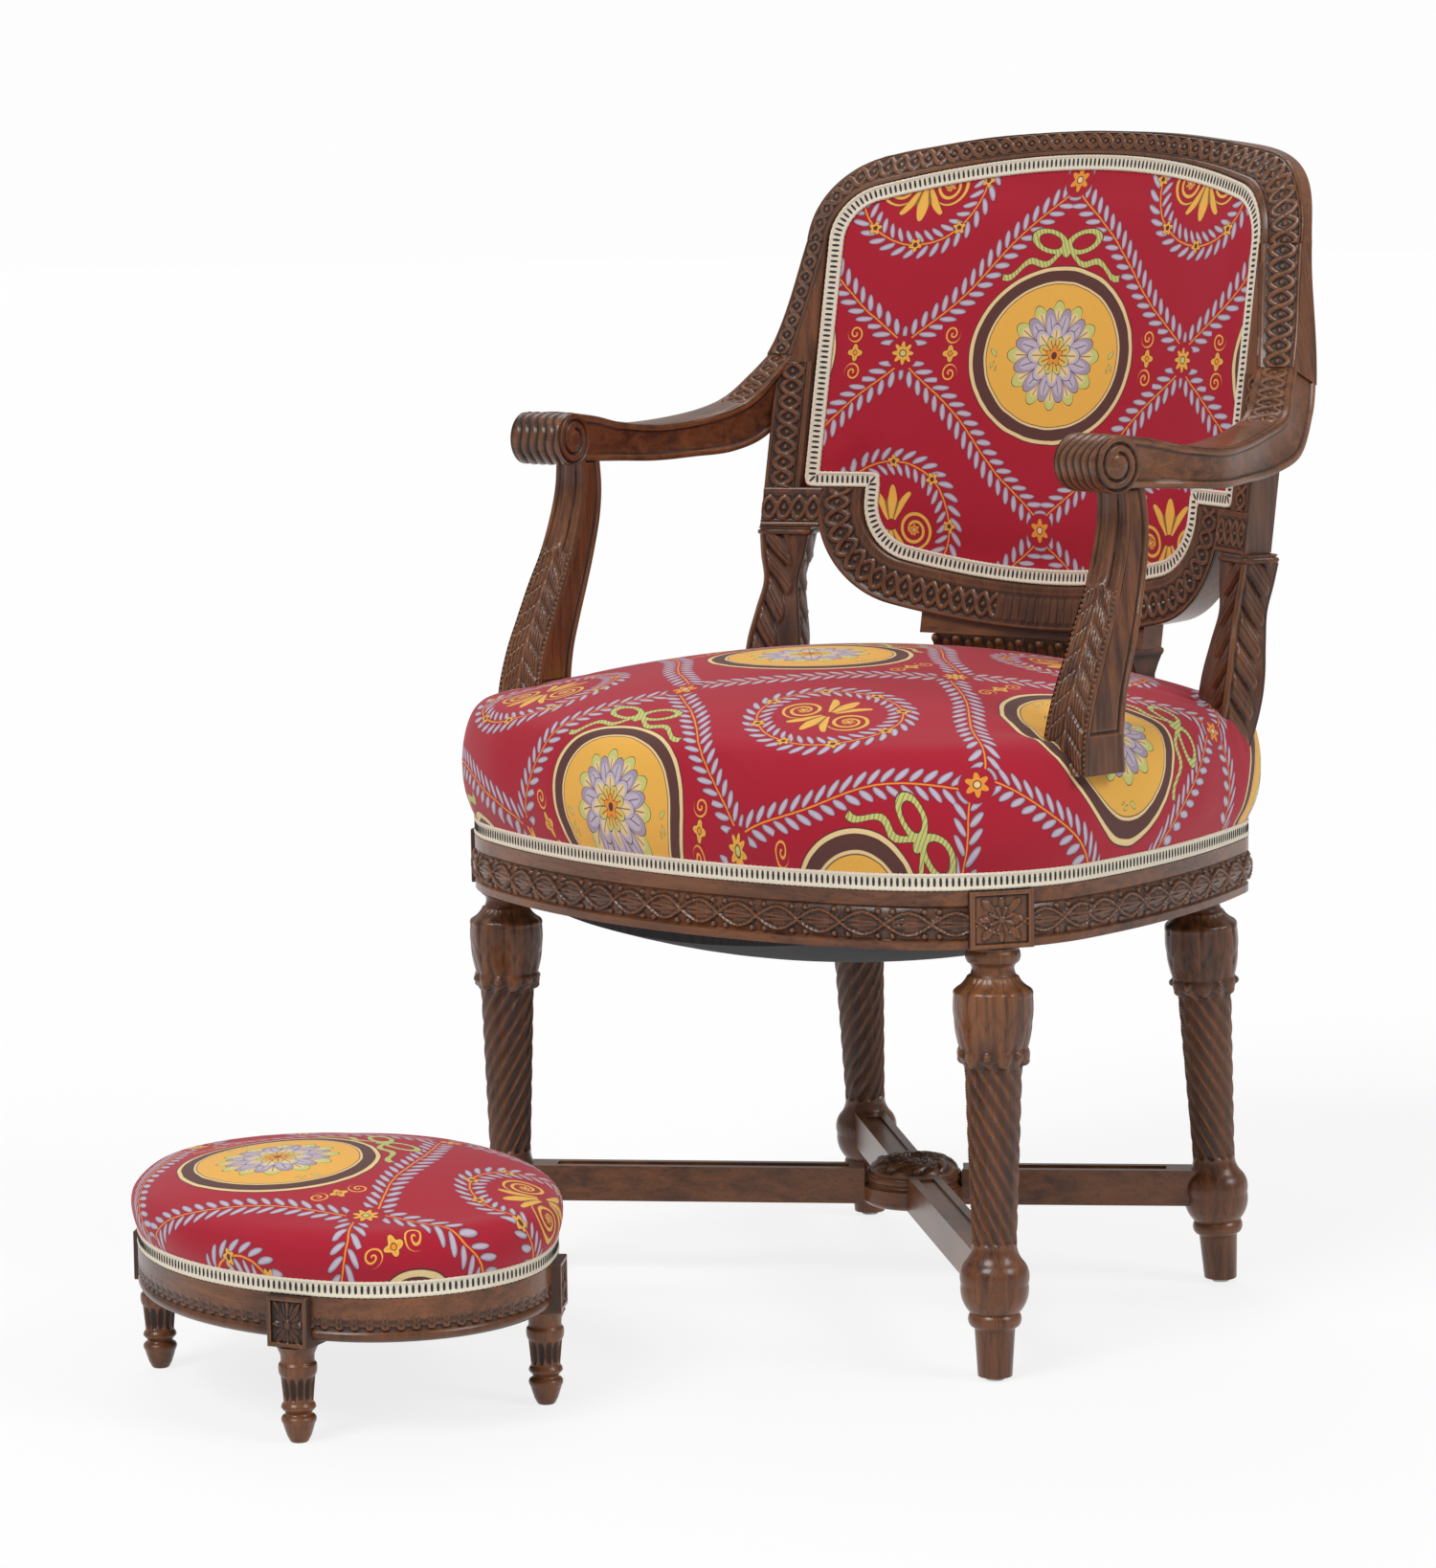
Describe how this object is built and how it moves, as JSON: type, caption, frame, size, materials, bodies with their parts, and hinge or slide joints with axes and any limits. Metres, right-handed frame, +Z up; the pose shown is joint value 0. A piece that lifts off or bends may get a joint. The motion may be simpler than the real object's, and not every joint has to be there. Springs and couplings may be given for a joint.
{
  "type": "armchair and footstool",
  "caption": "Open armchair with turned legs, sprung seat and dished padded back, with a low oval footstool.",
  "frame": {"origin": "middle of the footprint of the pair, on the floor", "axes": "+Z up, the chair and the sitter face -Y, +X to the right as seen from the front"},
  "size_m": [0.6728, 0.9732, 0.96],
  "materials": {
    "walnut": "satin polish",
    "upholstery": "printed cotton",
    "gimp": "woven braid",
    "bottom_cloth": "plain dark cloth",
    "webbing": "woven jute",
    "hessian": "coarse jute cloth",
    "steel": "dull steel"
  },
  "bodies": {
    "chair": {"back_gimp": "gimp", "back_outside_cover": "upholstery", "back_pad": "upholstery", "back_plinth": "walnut", "back_splat": "walnut", "back_webbing": "webbing", "brace_screws": "steel", "chair_glides": "steel", "corner_braces": "walnut", "crest_rail": "walnut", "dust_cover": "bottom_cloth", "front_left_leg": "walnut", "front_left_stretcher": "walnut", "front_right_leg": "walnut", "front_right_stretcher": "walnut", "front_seat_rail": "walnut", "left_arm": "walnut", "left_arm_support": "walnut", "left_rear_post": "walnut", "left_seat_rail": "walnut", "left_stile": "walnut", "lower_back_rail": "walnut", "rear_left_leg": "walnut", "rear_left_stretcher": "walnut", "rear_right_leg": "walnut", "rear_right_stretcher": "walnut", "rear_seat_rail": "walnut", "right_arm": "walnut", "right_arm_support": "walnut", "right_rear_post": "walnut", "right_seat_rail": "walnut", "right_stile": "walnut", "seat_cushion": "upholstery", "seat_gimp": "gimp", "seat_springs": "steel", "seat_webbing": "webbing", "spring_hessian": "hessian", "stretcher_hub": "walnut", "stretcher_rosette": "walnut"},
    "footstool": {"stool_bottom_cloth": "bottom_cloth", "stool_cushion": "upholstery", "stool_front_left_leg": "walnut", "stool_front_rail": "walnut", "stool_front_right_leg": "walnut", "stool_gimp": "gimp", "stool_left_rail": "walnut", "stool_rear_left_leg": "walnut", "stool_rear_rail": "walnut", "stool_rear_right_leg": "walnut", "stool_right_rail": "walnut", "stool_webbing": "webbing"}
  },
  "joints": [
    {"name": "footstool_slide", "type": "slide", "parent": "chair", "child": "footstool", "axis": [0, -1, 0], "range_m": [-0.05, 0.5]}
  ]
}
